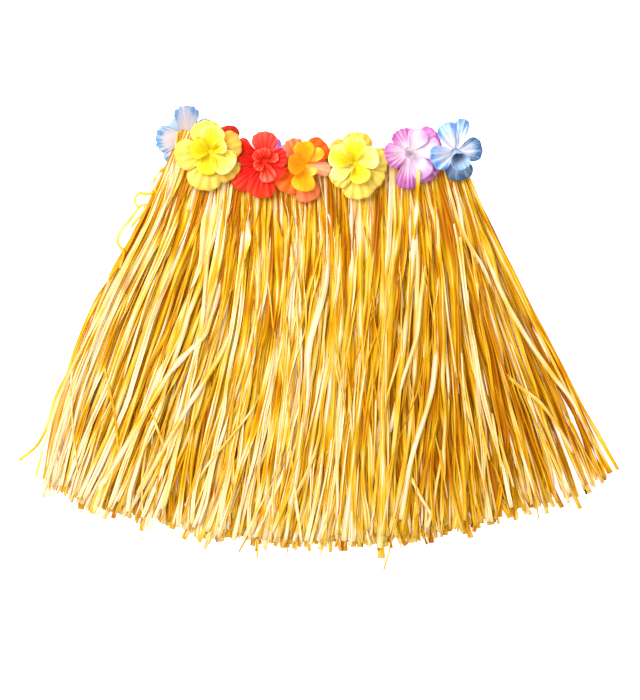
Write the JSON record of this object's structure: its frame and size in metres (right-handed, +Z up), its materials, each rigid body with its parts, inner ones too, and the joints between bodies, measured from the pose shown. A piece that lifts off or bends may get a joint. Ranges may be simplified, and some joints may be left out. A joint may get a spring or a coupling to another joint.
{
  "type": "grass skirt",
  "caption": "Raffia grass skirt laid flat: locks of raffia folded over an elastic waist, with artificial flowers sewn round the waist.",
  "frame": {"origin": "middle of the skirt's box, on the table it lies on", "axes": "+X along the waist, +Y from the hem to the waist, +Z up from the table"},
  "size_m": [0.6809, 0.5292, 0.0452],
  "materials": {
    "raffia": "satin",
    "elastic": "matte",
    "pale_yellow_cloth": "satin",
    "bright_yellow_cloth": "satin",
    "red_cloth": "satin",
    "orange_red_cloth": "satin",
    "amber_cloth": "satin",
    "lilac_cloth": "satin",
    "pink_white_cloth": "satin",
    "blue_cloth": "satin",
    "pale_blue_cloth": "satin"
  },
  "bodies": {
    "root": {"waist_elastic": "elastic", "fringe_front": "raffia", "fringe_back": "raffia", "flower_front_1_outer": "pale_yellow_cloth", "flower_front_1_inner": "bright_yellow_cloth", "flower_front_2_outer": "red_cloth", "flower_front_2_inner": "red_cloth", "flower_front_3_outer": "orange_red_cloth", "flower_front_3_inner": "amber_cloth", "flower_front_4_outer": "pale_yellow_cloth", "flower_front_4_inner": "bright_yellow_cloth", "flower_front_5_outer": "lilac_cloth", "flower_front_5_inner": "pink_white_cloth", "flower_front_6_outer": "blue_cloth", "flower_front_6_inner": "pale_blue_cloth", "flower_back_1_outer": "blue_cloth", "flower_back_1_inner": "pale_blue_cloth", "flower_back_2_outer": "red_cloth", "flower_back_2_inner": "red_cloth", "flower_back_3_outer": "lilac_cloth", "flower_back_3_inner": "pink_white_cloth", "flower_back_4_outer": "pale_yellow_cloth", "flower_back_4_inner": "bright_yellow_cloth", "flower_back_5_outer": "orange_red_cloth", "flower_back_5_inner": "amber_cloth", "flower_back_6_outer": "pale_yellow_cloth", "flower_back_6_inner": "bright_yellow_cloth"}
  },
  "joints": []
}
